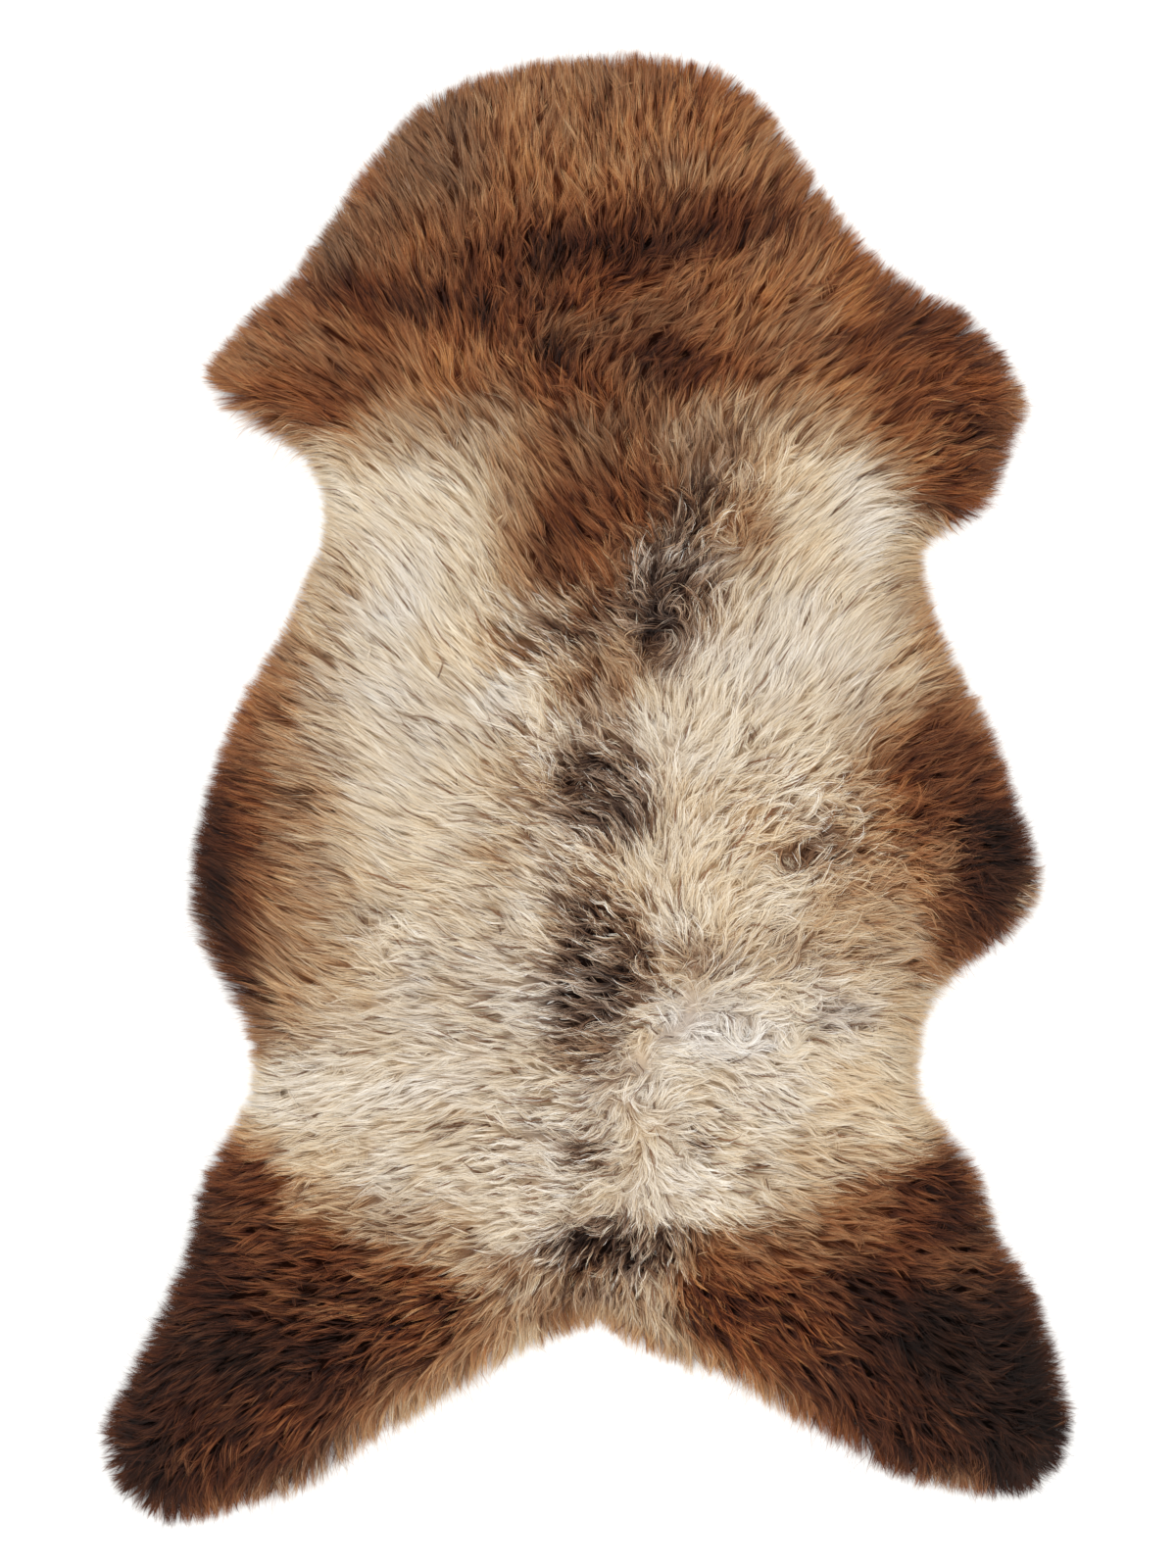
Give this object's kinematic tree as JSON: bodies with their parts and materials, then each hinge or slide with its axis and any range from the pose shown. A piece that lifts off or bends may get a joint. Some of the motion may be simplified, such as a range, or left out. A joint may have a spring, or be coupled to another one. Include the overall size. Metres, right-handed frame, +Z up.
{
  "type": "lambskin",
  "caption": "Whole tanned lambskin with its wool on, lying flat wool side up: neck, foreleg flaps, trunk and two hind legs.",
  "frame": {"origin": "middle of the box around the skin, at the flat flesh side it lies on", "axes": "+Y from the hind legs to the neck, +X to the right as seen from above, +Z up out of the wool"},
  "size_m": [0.6556, 0.9994, 0.0443],
  "materials": {
    "wool": "natural lamb's wool, long soft locks, chestnut to cream",
    "pelt": "tanned flesh side, matt suede"
  },
  "bodies": {
    "root": {"lambskin": "wool"}
  },
  "joints": []
}
